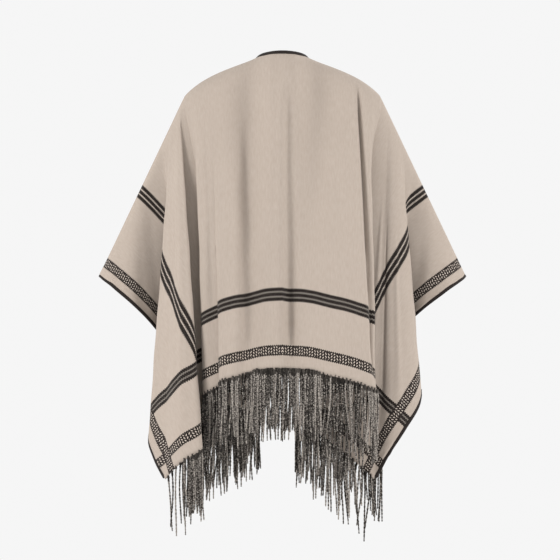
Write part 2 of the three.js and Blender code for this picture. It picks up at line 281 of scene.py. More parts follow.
# %% The cloth's form
def drape(folds, face, place, share):
    """Points of a panel for places round its edge and shares of the way down to it, with the
    flat cut's coordinates of those points. face is -1 behind and 1 in front."""
    edge_along = np.minimum(place, HALF_WIDTH)
    edge_down = np.minimum(HALF_LENGTH, HALF_LENGTH + HALF_WIDTH - place)
    along = curve_through(START_ROWS, 1, place)
    start = shoulder_line(along, face)
    length = np.hypot(edge_along - along, edge_down)
    swing = np.arctan2(edge_along - along, edge_down)
    reach = np.minimum(curve_through(BEND_ROWS, 1, along), 0.35 * length)
    tilt = NAPE_TILT * nape_share(along, face)
    level = unit(np.stack([0 * along, face + 0 * along, -tilt], -1))
    way = np.where((along > SHOULDER_REACH)[..., None], SLEEVE_WAY, SHOULDER_WAY)
    leave = level * np.cos(swing)[..., None] + way * np.sin(swing)[..., None]
    knee = start + leave * reach[..., None]
    out = curve_through(folds, 1, place)
    depth = face * curve_through(folds, 2, place)
    spare = (length - reach) ** 2 - (out - knee[..., 0]) ** 2 - (depth - knee[..., 1]) ** 2
    end = np.stack([out, depth, knee[..., 2] - np.sqrt(np.maximum(spare, 0))], -1)
    fall = (end - knee) / (length - reach)[..., None]
    run = length * share
    level_run = reach * (1 - np.exp(-run / reach))
    points = start + leave * level_run[..., None] + fall * (run - level_run)[..., None]
    flat = np.stack([along + (edge_along - along) * share, edge_down * share], -1)
    return points, flat


def share_to(limit, place):
    """The share of the way down each hanging line at which the cut reaches a width."""
    along = curve_through(START_ROWS, 1, place)
    edge_along = np.minimum(place, HALF_WIDTH)
    return np.minimum(1.0, (limit - along) / np.maximum(edge_along - along, 1e-6))


def neck_share(place, face):
    """The share of the way down each hanging line at which the cloth starts. It is cut a little
    lower at the nape."""
    along = curve_through(START_ROWS, 1, place)
    edge_along = np.minimum(place, HALF_WIDTH)
    edge_down = np.minimum(HALF_LENGTH, HALF_LENGTH + HALF_WIDTH - place)
    length = np.hypot(edge_along - along, edge_down)
    return NAPE_CUT * nape_share(along, face) / length


middle, _ = drape(BACK_LEFT_FOLDS, -1, np.array([0.0]), np.array([1.0]))
print("the middle of the back hem hangs at", np.round(middle[0], 3))

# %% [markdown]
# ## Small folds
#
# The fold tables carry the large folds. The cloth also hangs in softer troughs and ridges. Three
# deep troughs run down the back, one each side of its middle and one beside the right shoulder.
# The others are slight. A few listed rows give each one's place, length, width and height,
# and the sheet's points move along its own facing. A crease whose foot points to another place
# than its top runs aslant.

# %% Creases
# Each row: side, the places round the edge that its top and its foot point to, the shares of the
# way down where it starts and ends, half its width and its height. A negative height is a trough.
BACK_CREASES = [
    (-1, 18, 18, 0.10, 1.00, 9, 1.6),
    (-1, 50, 50, 0.22, 0.92, 8, -1.8),
    (-1, 78, 80, 0.20, 1.04, 16, -13.0),
    (-1, 112, 112, 0.35, 1.00, 12, 2.4),
    (-1, 205, 205, 0.12, 0.90, 9, -2.2),
    (-1, 596, 596, 0.30, 0.95, 14, 2.6),
    (-1, 650, 650, 0.25, 0.70, 16, -1.6),
    (1, 15, 17, 0.08, 1.04, 11, -20.0),
    (1, 188, 229, 0.03, 1.04, 10, -15.0),
    (1, 174, 206, 0.05, 0.95, 10, 3.0),
    (1, 52, 52, 0.30, 0.95, 12, 1.8),
    (1, 78, 78, 0.08, 0.55, 9, -1.4),
    (1, 118, 118, 0.25, 1.00, 13, -2.0),
    (1, 165, 165, 0.10, 0.80, 12, 1.6),
    (1, 640, 640, 0.25, 0.95, 16, 2.4),
    (1, 700, 700, 0.30, 0.90, 14, -3.0),
    (1, 790, 790, 0.35, 0.98, 15, 2.6),
]
FRONT_CREASES = [
    (-1, 84, 84, 0.10, 1.00, 9, -2.4),
    (-1, 128, 128, 0.30, 1.02, 12, -3.6),
    (-1, 168, 168, 0.20, 0.90, 10, 2.0),
    (-1, 600, 600, 0.30, 0.95, 14, 2.6),
    (-1, 790, 790, 0.30, 0.95, 15, -3.0),
    (-1, 1160, 1160, 0.20, 0.95, 18, -3.0),
    (1, 92, 92, 0.20, 0.95, 10, -2.8),
    (1, 140, 140, 0.12, 1.04, 11, -3.2),
    (1, 172, 172, 0.35, 0.90, 10, 1.8),
    (1, 610, 610, 0.25, 0.95, 15, -2.8),
    (1, 775, 775, 0.35, 0.98, 14, 2.6),
    (1, 1180, 1180, 0.20, 0.92, 18, -2.6),
]
UNEVEN_HEIGHT = 0.0011
UNEVEN_WAVES = [(7.3, 3.1, 0.4), (11.9, -4.7, 1.9), (5.1, 8.3, 3.2)]


def creases_at(rows, side, place, share, flat):
    """How far each point of the sheet moves along its facing."""
    height = np.zeros_like(place)
    for row_side, from_place, to_place, top, foot, half_width, rise in rows:
        if row_side != side:
            continue
        spread = half_width * MM * (0.5 + 0.7 * share)
        line = (from_place + (to_place - from_place) * share) * MM
        across = np.exp(-(((place - line) / spread) ** 2))
        fade = np.clip((share - top) / 0.18, 0, 1) * np.clip((foot - share) / 0.18, 0, 1)
        height += rise * MM * across * fade * fade * (3 - 2 * fade)
    for along_waves, down_waves, shift in UNEVEN_WAVES:
        turn = 2 * np.pi * (flat[..., 0] * along_waves * side + flat[..., 1] * down_waves) + shift
        height += UNEVEN_HEIGHT / 3 * np.sin(turn) * np.clip(share * 6, 0, 1)
    return height


print(len(BACK_CREASES) + len(FRONT_CREASES), "soft creases are placed by hand")

# %% [markdown]
# ## From a flat grid to hanging cloth
#
# Each panel starts as a flat grid of squares, because a grid has even, four-sided faces that
# fold well. Its points are then carried to the hanging form, and the flat place of each point
# stays behind as a UV map. That map is how the woven bands follow every fold, as they do on real
# cloth, where they are woven in before the cloth is ever cut.


# %% Grid helpers
def grid_numbers(mesh, columns, rows):
    """The column and row of each point of a grid made from -1 to 1 each way."""
    flat = np.empty(len(mesh.vertices) * 3)
    mesh.vertices.foreach_get("co", flat)
    flat = flat.reshape(-1, 3)
    column = np.rint((flat[:, 0] + 1) / 2 * columns).astype(int)
    row = np.rint((flat[:, 1] + 1) / 2 * rows).astype(int)
    return column, row


def facing_of(points):
    """The way a grid of points faces, from its neighbours."""
    across = np.gradient(points, axis=0)
    down = np.gradient(points, axis=1)
    return unit(np.cross(across, down))


def sheet_from(name, points, flat):
    """A mesh grid laid on an array of points, with the flat cut as its UV map."""
    columns, rows = points.shape[0] - 1, points.shape[1] - 1
    bm = bmesh.new()
    bmesh.ops.create_grid(bm, x_segments=columns, y_segments=rows, size=1)
    mesh = bpy.data.meshes.new(name)
    bm.to_mesh(mesh)
    bm.free()
    column, row = grid_numbers(mesh, columns, rows)
    mesh.vertices.foreach_set("co", points[column, row].ravel())
    layer = mesh.uv_layers.new(name="cut")
    corners = np.empty(len(mesh.loops), int)
    mesh.loops.foreach_get("vertex_index", corners)
    layer.data.foreach_set("uv", flat[column, row][corners].ravel())
    mesh.polygons.foreach_set("use_smooth", np.ones(len(mesh.polygons), bool))
    mesh.update()
    piece = bpy.data.objects.new(name, mesh)
    bpy.context.scene.collection.objects.link(piece)
    return piece


# %% Where the sheet is cut into columns
COLUMN_STEP = 0.0068
ROW_COUNT = 88
CLOTH_EDGE = HALF_WIDTH - 0.8 * TAPE_WIDTH


def column_places(rows):
    """Places round the edge, closer together where the folds turn."""
    knots = np.array([row[0] for row in rows] + [CLOTH_EDGE / MM], float) * MM
    knots = np.unique(knots)
    places = [knots[:1]]
    for low, high in zip(knots[:-1], knots[1:]):
        steps = max(2, math.ceil((high - low) / COLUMN_STEP))
        places.append(np.linspace(low, high, steps + 1)[1:])
    return np.concatenate(places)


DOWN_SHARES = np.linspace(0, 1, ROW_COUNT + 1) ** 1.25


def panel_points(folds, creases, face, side):
    """The points and flat places of one panel, as columns from the shoulder line down."""
    place = column_places(folds)
    stop = share_to(CLOTH_EDGE, place)
    start = neck_share(place, face)
    share = start[:, None] + DOWN_SHARES[None, :] * (stop - start)[:, None]
    place = np.repeat(place[:, None], len(DOWN_SHARES), axis=1)
    points, flat = drape(folds, face, place, share)
    facing = facing_of(points) * -face
    points = points - facing * creases_at(creases, side, place, share, flat)[..., None]
    points[..., 0] *= side
    flat[..., 0] *= side
    flat[..., 1] *= -face
    return points, flat


# %% [markdown]
# ## The three panels of cloth
#
# The back is one panel from sleeve to sleeve. Its left and right folds differ, so two halves are
# worked out from their own tables and joined down the middle. The front panels hang either side
# of the opening. Solidify gives each sheet its thickness.


# %% The cloth panels
def cloth_panel(name, points, flat, node):
    """One hanging panel with its wall, standing for its solid in the frame."""
    piece = sheet_from(name, points, flat)
    wall = piece.modifiers.new("wall", "SOLIDIFY")
    wall.thickness = CLOTH_WALL
    wall.offset = 0
    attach(piece, "root")
    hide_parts(node)
    print(name, "has", len(piece.data.polygons), "faces before its wall")
    return piece


left_points, left_flat = panel_points(BACK_LEFT_FOLDS, BACK_CREASES, -1, -1)
right_points, right_flat = panel_points(BACK_RIGHT_FOLDS, BACK_CREASES, -1, 1)
back_points = np.concatenate([left_points[::-1], right_points[1:]])
back_flat = np.concatenate([left_flat[::-1], right_flat[1:]])
middle_column = len(left_points) - 1


def ease_column(points, column, reach, passes):
    """Softens the turn of the cloth at one column, and less so at the columns beside it."""
    near = np.arange(column - reach, column + reach + 1)
    weight = 0.5 * (1 - ((near - column) / (reach + 1)) ** 2)[:, None, None]
    for _ in range(passes):
        around = 0.5 * (points[near - 1] + points[near + 1])
        points[near] += weight * (around - points[near])


for side, folds in ((-1, BACK_LEFT_FOLDS), (1, BACK_RIGHT_FOLDS)):
    beside_neck = int(np.argmin(np.abs(column_places(folds) - NECK_HALF)))
    ease_column(back_points, middle_column + side * beside_neck, reach=5, passes=10)
ease_column(back_points, middle_column, reach=3, passes=3)
back = cloth_panel("back_cloth", back_points, back_flat, "back_panel")

front_cloths = {}
for word, side in (("left", -1), ("right", 1)):
    front_points, front_flat = panel_points(FRONT_FOLDS, FRONT_CREASES, 1, side)
    if side > 0:
        front_points, front_flat = front_points[::-1], front_flat[::-1]
    front_cloths[word] = cloth_panel(
        "front_cloth_" + word, front_points, front_flat, "front_panel_" + word
    )

# %% [markdown]
# ## The sewn tape
#
# A dark folded tape binds the neck, the front edges and both side edges. In section it is a
# flattened round, because it is a strip of ribbon folded over the raw edge. It is a tube swept
# along a line of stations, each with the way into the tape and the way that the cloth faces.

# %% Tape helper
TAPE_WALL = 0.0036
TAPE_SIDES = 10


def swept_tape(name, centre, inward, facing, width, wall, node):
    """A flat round-edged tube along the stations, closed at its ends."""
    turn = np.linspace(0, 2 * np.pi, TAPE_SIDES + 1)
    squash = 0.6
    wide = np.sign(np.cos(turn)) * np.abs(np.cos(turn)) ** squash * width / 2
    high = np.sign(np.sin(turn)) * np.abs(np.sin(turn)) ** squash * wall / 2
    points = (
        centre[:, None]
        + inward[:, None] * wide[None, :, None]
        + facing[:, None] * high[None, :, None]
    )
    run = np.concatenate([[0], np.cumsum(np.linalg.norm(np.diff(centre, axis=0), axis=1))])
    flat = np.stack(np.broadcast_arrays(run[:, None], turn[None, :] * width / np.pi), -1)
    piece = sheet_from(name, points, flat)
    bm = bmesh.new()
    bm.from_mesh(piece.data)
    bmesh.ops.remove_doubles(bm, verts=bm.verts, dist=1e-6)
    bmesh.ops.holes_fill(bm, edges=[edge for edge in bm.edges if edge.is_boundary])
    bmesh.ops.recalc_face_normals(bm, faces=bm.faces)
    bm.to_mesh(piece.data)
    bm.free()
    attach(piece, "root")
    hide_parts(node)
    print(name, "is", round(float(run[-1]), 2), "m of tape")
    return piece


# %% Tape along the side edges
def side_stations(folds, face, side):
    """Middle, way out and facing of the tape along one side edge, from the corner up."""
    place = column_places(folds)
    place = place[place >= HALF_WIDTH]
    mid = share_to(HALF_WIDTH - TAPE_WIDTH / 2, place)
    step = 0.004
    centre, _ = drape(folds, face, place, mid)
    outer, _ = drape(folds, face, place, mid + step)
    along = np.gradient(centre, axis=0)
    facing = unit(np.cross(along, outer - centre)) * -face
    outward = unit(np.cross(facing, along)) * face
    outward = outward * np.sign(np.sum(outward * (outer - centre), axis=1, keepdims=True))
    for vectors in (centre, facing, outward):
        vectors[:, 0] *= side
    return centre, outward, facing


side_tapes = {}
for word, side, folds in (("left", -1, BACK_LEFT_FOLDS), ("right", 1, BACK_RIGHT_FOLDS)):
    behind = side_stations(folds, -1, side)
    before = side_stations(FRONT_FOLDS, 1, side)
    centre, outward, facing = (
        np.concatenate([a, b[::-1]]) for a, b in zip(behind, before)
    )
    side_tapes[word] = swept_tape(
        "side_tape_" + word, centre, outward, facing, TAPE_WIDTH, TAPE_WALL, "side_binding_" + word
    )


# %% Tape round the neck and down the front edges
def edge_stations(folds, face, place, share, side):
    """Points on a panel's edge and the way that the cloth faces inward there."""
    here, _ = drape(folds, face, place, share)
    beside, _ = drape(folds, face, place + 0.001, share)
    below, _ = drape(folds, face, place, share + 0.002)
    facing = unit(np.cross(beside - here, below - here)) * -face
    here[:, 0] *= side
    facing[:, 0] *= side
    return here, facing


FRONT_STATIONS = 60
NAPE_STATIONS = 15
NAPE_TAPE_BACK = np.array([0, -0.0032, 0])
NAPE_TAPE_WAY = np.array([0, 0.34, 0.94])

down_edge = np.linspace(0, 1, FRONT_STATIONS) ** 1.2
front_places = np.full(FRONT_STATIONS, NECK_HALF)
nape_in = np.linspace(NECK_HALF, 0, NAPE_STATIONS + 1)[1:]
nape_out = nape_in[-2::-1]
parts = [
    edge_stations(FRONT_FOLDS, 1, front_places, down_edge[::-1], -1),
    edge_stations(BACK_LEFT_FOLDS, -1, nape_in, neck_share(nape_in, -1), -1),
    edge_stations(BACK_RIGHT_FOLDS, -1, nape_out, neck_share(nape_out, -1), 1),
    edge_stations(FRONT_FOLDS, 1, front_places, down_edge, 1),
]
neck_line = np.concatenate([part[0] for part in parts])
neck_facing = np.concatenate([part[1] for part in parts])
for _ in range(2):
    neck_line[1:-1] = 0.5 * neck_line[1:-1] + 0.25 * (neck_line[:-2] + neck_line[2:])
    neck_facing[1:-1] = 0.5 * neck_facing[1:-1] + 0.25 * (neck_facing[:-2] + neck_facing[2:])
neck_inward = unit(np.cross(np.gradient(neck_line, axis=0), unit(neck_facing)))

# At the nape the tape stands up behind the neck, so its way in turns from level to upright.
upright = np.zeros((len(neck_line), 1))
upright[FRONT_STATIONS:-FRONT_STATIONS, 0] = nape_share(np.concatenate([nape_in, nape_out]), -1)
neck_centre = neck_line + neck_inward * TAPE_WIDTH * 0.4 * (1 - upright) + upright * NAPE_TAPE_BACK
neck_inward = unit(neck_inward * (1 - upright) + upright * NAPE_TAPE_WAY)
across_tape = np.sum(neck_facing * neck_inward, axis=1, keepdims=True)
neck_facing = unit(neck_facing - neck_inward * across_tape)
neck_tape = swept_tape(
    "neck_tape", neck_centre, neck_inward, neck_facing, TAPE_WIDTH, TAPE_WALL, "neck_binding"
)

# %% [markdown]
# ## Twisted fringe
#
# The warp threads run on past each hem, where they are knotted and twisted into cords. Two cords
# leave each knot, and near the corners they hang one by one. One yarn is a thin tube wound round
# the cord's middle line. A single straight tube is the pattern for all of them: it is copied once
# for each yarn, and the copies' points are then bent and wound together. The cords cling to their
# neighbours in small clumps and sway a little, and their lengths differ as cut yarn does.

# %% One yarn as a pattern
YARN_RINGS = 30
YARN_SIDES = 4


def yarn_pattern():
    """A closed tube from height 0 to 1 with a radius of 1."""
    bm = bmesh.new()
    bmesh.ops.create_cone(
        bm, cap_ends=True, segments=YARN_SIDES, radius1=1, radius2=1, depth=1
    )
    bmesh.ops.translate(bm, verts=bm.verts, vec=(0, 0, 0.5))
    upright = [e for e in bm.edges if abs(e.verts[0].co.z - e.verts[1].co.z) > 0.5]
    bmesh.ops.subdivide_edges(bm, edges=upright, cuts=YARN_RINGS - 1)
    mesh = bpy.data.meshes.new("yarn_pattern")
    bm.to_mesh(mesh)
    bm.free()
    return mesh


pattern = yarn_pattern()
print("one yarn has", len(pattern.polygons), "faces")

# %% The cords of one hem
KNOT_PITCH = 0.0086
KNOT_RISE = 0.003
KNOT_LENGTH = 0.010
KNOT_SWELL = 0.95
KNOT_UNEVEN = 0.003
CORD_SPREAD = 0.0022
MIDDLE_REACH = 0.088
MIDDLE_CORDS = 3
MIDDLE_CLING = 0.35
LONE_FROM = 0.602
LONE_PITCH = 0.0155

# Each row: the place round the edge, and the length of the cords there, in millimetres.
BACK_CORD_ROWS = [(0, 136), (675, 136)]
LEFT_CORD_ROWS = [(62, 100), (150, 118), (240, 134), (675, 136)]
RIGHT_CORD_ROWS = [(62, 112), (130, 138), (300, 148), (675, 138)]

YARN_RADIUS = 0.0012
WIND_RADIUS = 0.0009
TWIST_PITCH = 0.015
CORD_SWAY = 0.005
BOW_SHARE = 0.6
CLUMP_CORDS = 6
CLING_RANGE = (0.25, 0.80)
TURN_DOWN = 0.012

# A cord's length is at least this share of its row's, and each has a random part of the second
# number more. The longest three in ten have the third number more as well.
TRIM_LEAST = 0.84
TRIM_STRAY = 0.20
TRIM_LONG = 0.10
LONG_FROM = 0.7


def cord_places(start):
    """Where each cord leaves a hem, and which way it spreads. The knots are closer in the middle
    of the back."""
    knots = np.arange(start + KNOT_PITCH / 2, LONE_FROM, KNOT_PITCH)
    between = np.arange(start, MIDDLE_REACH, KNOT_PITCH / MIDDLE_CORDS)
    paired = np.repeat(np.sort(np.concatenate([knots[knots > MIDDLE_REACH], between])), 2)
    lone = np.arange(LONE_FROM + LONE_PITCH / 2, HALF_WIDTH - TAPE_WIDTH, LONE_PITCH)
    apart = np.concatenate([np.tile([-1.0, 1.0], len(paired) // 2), 0 * lone])
    return np.concatenate([paired, lone]), apart


def hem_cords(folds, face, side, start, length_rows):
    """The root, the way down, the way along the hem, the spread and the length of each cord."""
    places, apart = cord_places(start)
    ends, _ = drape(folds, face, places, np.ones_like(places))
    above, _ = drape(folds, face, places, np.full_like(places, 0.99))
    beside, _ = drape(folds, face, places + 0.001, np.ones_like(places))
    fall, along = unit(ends - above), unit(beside - ends)
    for vectors in (ends, fall, along):
        vectors[:, 0] *= side
    length = curve_through(length_rows, 1, places)
    root = ends - KNOT_RISE * fall
    return {"root": root, "fall": fall, "along": along, "apart": apart, "length": length}


def joined_yarns(name, count):
    """One mesh of many copies of the pattern, and the copies' points, two copies to a cord."""
    bm = bmesh.new()
    for _ in range(count):
        bm.from_mesh(pattern)
    mesh = bpy.data.meshes.new(name)
    bm.to_mesh(mesh)
    bm.free()
    flat = np.empty(len(mesh.vertices) * 3)
    mesh.vertices.foreach_get("co", flat)
    return mesh, flat.reshape(count // 2, 2, -1, 3)


def cord_middles(rng, hem, roots, t, run):
    """The middle line of each cord. It leaves the hem the way the cloth falls, turns down, leans
    to the middle of its clump and sways."""
    cords = len(roots)
    early = TURN_DOWN * (1 - np.exp(-run / TURN_DOWN))
    path = roots[:, None, None] + hem["fall"][:, None, None] * early[..., None]
    path = path + np.array([0, 0, -1.0]) * (run - early)[..., None]
    clump = np.arange(cords) // CLUMP_CORDS
    clump = clump[np.clip(np.arange(cords) + rng.integers(-2, 3, cords), 0, cords - 1)]
    centres = np.array([roots[clump == c].mean(axis=0) for c in clump])
    cling = rng.uniform(*CLING_RANGE, cords)[clump]
    cling = np.where(np.abs(roots[:, 0]) < MIDDLE_REACH, MIDDLE_CLING, 1) * cling
    cling = cling[:, None, None, None] * (t**1.4)[..., None]
    spread = CORD_SPREAD * hem["apart"][:, None, None] * (1 - np.exp(-((run / KNOT_LENGTH) ** 2)))
    path = path + hem["along"][:, None, None] * spread[..., None]
    path[..., :2] += (centres - roots)[:, None, None, :2] * cling
    sway = rng.uniform(-1, 1, (cords, 1, 1, 2)) * CORD_SWAY
    bow = rng.uniform(-1, 1, (cords, 1, 1, 2)) * CORD_SWAY * BOW_SHARE
    path[..., :2] += sway * (t**1.6)[..., None] + bow * np.sin(np.pi * t * 1.4)[..., None]
    return path


def fringe_of(name, hem, node, seed):
    """All the cords of one hem as one piece, with two yarns wound together in each cord."""
    rng = np.random.default_rng(seed)
    cords = len(hem["root"])
    mesh, local = joined_yarns(name, 2 * cords)
    t = local[..., 2]
    stray = rng.uniform(0, 1, cords)
    trim = TRIM_LEAST + TRIM_STRAY * stray + TRIM_LONG * (stray > LONG_FROM)
    run = t * (hem["length"] * trim)[:, None, None]
    roots = hem["root"] + hem["fall"] * rng.uniform(-0.5, 1, (cords, 1)) * KNOT_UNEVEN
    path = cord_middles(rng, hem, roots, t, run)

    pitch = TWIST_PITCH * rng.uniform(0.8, 1.3, cords)[:, None, None]
    first = rng.uniform(0, 2 * np.pi, cords)[:, None, None]
    wind = 2 * np.pi * run / pitch + first + np.array([0, np.pi])[None, :, None]
    taper = 1 - 0.25 * np.clip((t - 0.85) / 0.15, 0, 1)
    knot = KNOT_SWELL * np.exp(-((run / KNOT_LENGTH) ** 2))
    swell = 1 + 0.10 * np.sin(run / 0.006 + first * 3) + knot
    path[..., 0] += WIND_RADIUS * np.cos(wind) * taper
    path[..., 1] += WIND_RADIUS * np.sin(wind) * taper
    radius = (YARN_RADIUS * taper * swell)[..., None]
    points = path + np.concatenate([local[..., :2] * radius, np.zeros_like(radius)], -1)
    mesh.vertices.foreach_set("co", points.ravel())

    shade = rng.uniform(0, 0.9, (cords, 1, 1)) ** 1.8 + rng.uniform(0, 0.2, (cords, 2, 1)) + 0 * t
    yarn = mesh.attributes.new("yarn_shade", "FLOAT", "POINT")
    yarn.data.foreach_set("value", shade.ravel())
    down = mesh.attributes.new("yarn_run", "FLOAT", "POINT")
    down.data.foreach_set("value", run.ravel())
    mesh.polygons.foreach_set("use_smooth", np.ones(len(mesh.polygons), bool))
    mesh.update()
    piece = bpy.data.objects.new(name, mesh)
    bpy.context.scene.collection.objects.link(piece)
    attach(piece, "root")
    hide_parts(node)
    print(name, "has", cords, "cords and", len(mesh.polygons), "faces")
    return piece


# %% Fringe along the three hems
left_hem = hem_cords(BACK_LEFT_FOLDS, -1, -1, 0, BACK_CORD_ROWS)
right_hem = hem_cords(BACK_RIGHT_FOLDS, -1, 1, 0, BACK_CORD_ROWS)
back_hem = {key: np.concatenate([left_hem[key][::-1], right_hem[key]]) for key in left_hem}
back_fringe = fringe_of("back_fringe_cords", back_hem, "fringe_back", 3)
front_fringes = {}
for word, side, rows in (("left", -1, LEFT_CORD_ROWS), ("right", 1, RIGHT_CORD_ROWS)):
    front_hem = hem_cords(FRONT_FOLDS, 1, side, NECK_HALF, rows)
    front_fringes[word] = fringe_of(
        "front_fringe_cords_" + word, front_hem, "fringe_front_" + word, 7 + side
    )

# %% [markdown]
# ## Materials
#
# Node materials are built by short helpers, so that each stripe reads as a sum. The cloth's UV
# map gives the place on the flat cut in metres, so a band is simply where the distance from the
# hem or from the side edge lies within the band's width.


# %% Node helpers
def new_material(name):
    """A material with its node tree and its shader."""
    material = bpy.data.materials.new(name)
    material.use_nodes = True
    return material, material.node_tree, material.node_tree.nodes["Principled BSDF"]


def plug(tree, socket, value):
    """Links a socket to another one, or sets its number."""
    if isinstance(value, bpy.types.NodeSocket):
        tree.links.new(value, socket)
    else:
        socket.default_value = value


def calc(tree, operation, *values):
    """One Math node."""
    node = tree.nodes.new("ShaderNodeMath")
    node.operation = operation
    for socket, value in zip(node.inputs, values):
        plug(tree, socket, value)
    return node.outputs[0]


def blend_colour(tree, share, under, over):
    """One colour over another by a share."""
    node = tree.nodes.new("ShaderNodeMix")
    node.data_type = "RGBA"
    plug(tree, node.inputs[0], share)
    plug(tree, node.inputs[6], under)
    plug(tree, node.inputs[7], over)
    return node.outputs[2]


def noise(tree, vector, scale, detail=2.0):
    """A noise value from 0 to 1."""
    node = tree.nodes.new("ShaderNodeTexNoise")
    plug(tree, node.inputs["Vector"], vector)
    node.inputs["Scale"].default_value = scale
    node.inputs["Detail"].default_value = detail
    return node.outputs[0]


# %% The cloth's colours and band places
BEIGE = (0.365, 0.311, 0.267, 1)
BEIGE_DEEP = (0.300, 0.250, 0.210, 1)
INK = (0.011, 0.008, 0.007, 1)
ASH = (0.15, 0.132, 0.115, 1)
PALE_THREAD = (0.42, 0.36, 0.31, 1)

HEM_BAND_AT = 0.041
HEM_BAND_WIDTH = 0.0220
SIDE_BAND_AT = 0.035
SIDE_BAND_WIDTH = 0.0215
HEM_TRIPLE_AT = 0.160
SIDE_TRIPLE_AT = 0.209
BAR_PITCH = 0.0104
HEM_BAR_WIDTH = 0.0074
SIDE_BAR_WIDTH = 0.0084
STITCH_PITCH = 0.0046
STITCH_STEP = 0.0015
DOT_PITCH = 0.0064
BAND_OUTLINE = 0.0031
PALE_SHARE = 0.47


def within(tree, distance, middle, width):
    """1 inside a stripe and 0 outside it."""
    return calc(tree, "COMPARE", distance, middle, width / 2)


def stitched(tree, distance, along):
    """The distance with a small step to and fro along the band, as where weft crosses warp."""
    half = calc(tree, "FRACT", calc(tree, "DIVIDE", along, STITCH_PITCH))
    out = calc(tree, "GREATER_THAN", half, 0.5)
    step = calc(tree, "MULTIPLY_ADD", out, STITCH_STEP, -STITCH_STEP / 2)
    return calc(tree, "ADD", distance, step)


def triple(tree, distance, along, middle, bar_width):
    """Three dark bars side by side, with dotted edges."""
    stepped = stitched(tree, distance, along)
    bars = [within(tree, stepped, middle + i * BAR_PITCH, bar_width) for i in (-1, 0, 1)]
    return calc(tree, "MAXIMUM", calc(tree, "MAXIMUM", bars[0], bars[1]), bars[2])


def band(tree, distance, along, middle, width):
    """A band with dark outlines, filled with fine zigzag twill. Gives the whole band's mask and
    the share of dark in it."""
    whole = within(tree, stitched(tree, distance, along), middle, width)
    inner = within(tree, distance, middle, width - 2 * BAND_OUTLINE)
    slant = calc(tree, "PINGPONG", along, 2 * DOT_PITCH)
    rib = calc(tree, "FRACT", calc(tree, "DIVIDE", calc(tree, "ADD", distance, slant), DOT_PITCH))
    dot = calc(tree, "FRACT", calc(tree, "DIVIDE", along, DOT_PITCH))
    pale_rib = calc(tree, "LESS_THAN", rib, PALE_SHARE)
    pale_dot = calc(tree, "LESS_THAN", dot, PALE_SHARE)
    pale = calc(tree, "MULTIPLY", calc(tree, "MULTIPLY", pale_rib, pale_dot), inner)
    return whole, calc(tree, "SUBTRACT", 1.0, pale)


# %% Fine relief
RELIEF_DEPTH = 0.0003


def threads(tree, vector, direction, scale):
    """Fine wavering ridges, as of threads laid side by side."""
    node = tree.nodes.new("ShaderNodeTexWave")
    node.bands_direction = direction
    node.inputs["Scale"].default_value = scale
    node.inputs["Distortion"].default_value = 1.2
    node.inputs["Detail Scale"].default_value = 300.0
    tree.links.new(vector, node.inputs["Vector"])
    return node.outputs["Fac"]


def relief(tree, shader, height, strength):
    """Gives a shader's surface a fine relief."""
    bump = tree.nodes.new("ShaderNodeBump")
    bump.inputs["Distance"].default_value = RELIEF_DEPTH
    bump.inputs["Strength"].default_value = strength
    tree.links.new(height, bump.inputs["Height"])
    tree.links.new(bump.outputs[0], shader.inputs["Normal"])


